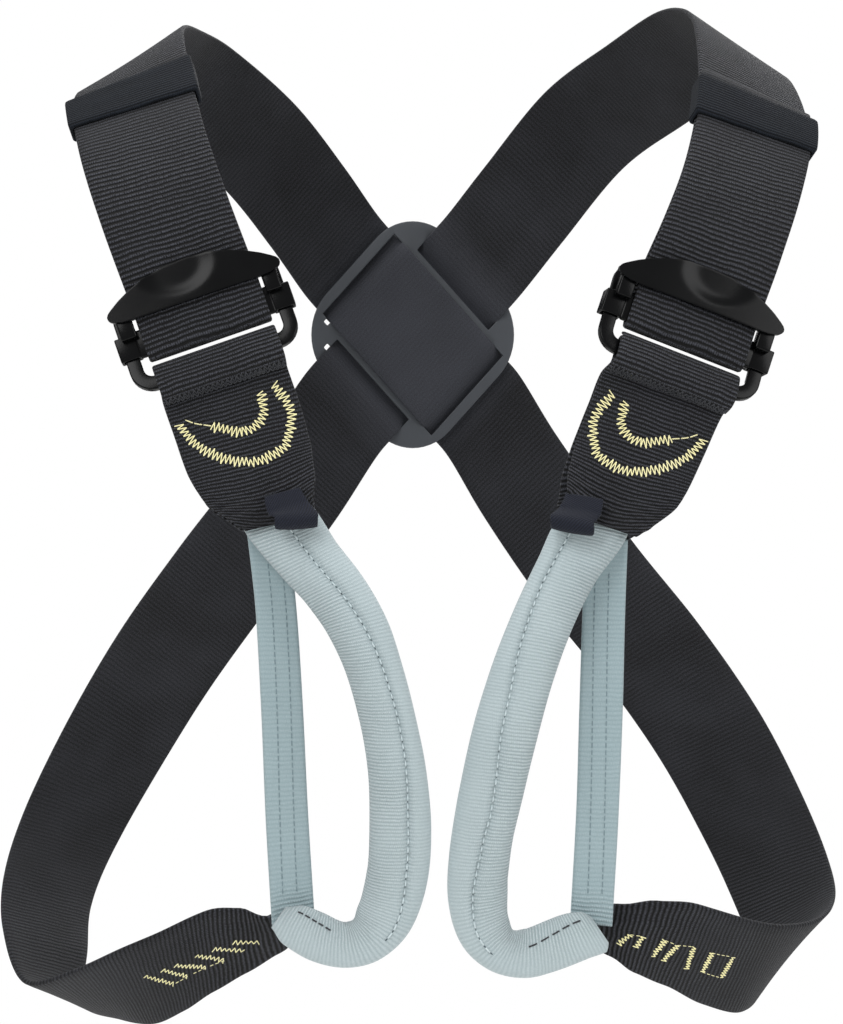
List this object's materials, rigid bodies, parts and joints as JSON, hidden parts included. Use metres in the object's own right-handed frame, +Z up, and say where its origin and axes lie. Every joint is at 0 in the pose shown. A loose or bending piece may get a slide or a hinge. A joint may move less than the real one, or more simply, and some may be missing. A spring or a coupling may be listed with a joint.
{
  "type": "climbing chest harness",
  "caption": "Worn chest harness of black webbing crossing at a back plate, with slide buckles and grey padded tie-in loops.",
  "frame": {"origin": "midway between the shoulders, at the height of the strap tops, half way from the front straps to the back plate", "axes": "+X to the right of the picture, +Y towards the wearer's back, +Z up"},
  "size_m": [0.3168, 0.2314, 0.3843],
  "materials": {
    "plate_plastic": "satin",
    "black_webbing": "woven, cross ribbed",
    "elastic_band": "fine woven elastic",
    "buckle_metal": "satin black coating",
    "grey_sleeve": "fine ribbed padded tube",
    "grey_webbing": "flat woven",
    "dark_tape": "fine twill tape"
  },
  "bodies": {
    "root": {"back_plate": "plate_plastic", "left_shoulder_strap": "black_webbing", "right_shoulder_strap": "black_webbing", "left_keeper": "elastic_band", "right_keeper": "elastic_band", "left_buckle_frame": "buckle_metal", "right_buckle_frame": "buckle_metal", "left_buckle_slide": "buckle_metal", "right_buckle_slide": "buckle_metal", "left_lower_webbing": "black_webbing", "right_lower_webbing": "black_webbing", "left_padded_loop": "grey_sleeve", "right_padded_loop": "grey_sleeve", "left_flat_loop_strap": "grey_webbing", "right_flat_loop_strap": "grey_webbing", "left_tape_loop": "dark_tape", "right_tape_loop": "dark_tape"}
  },
  "joints": []
}
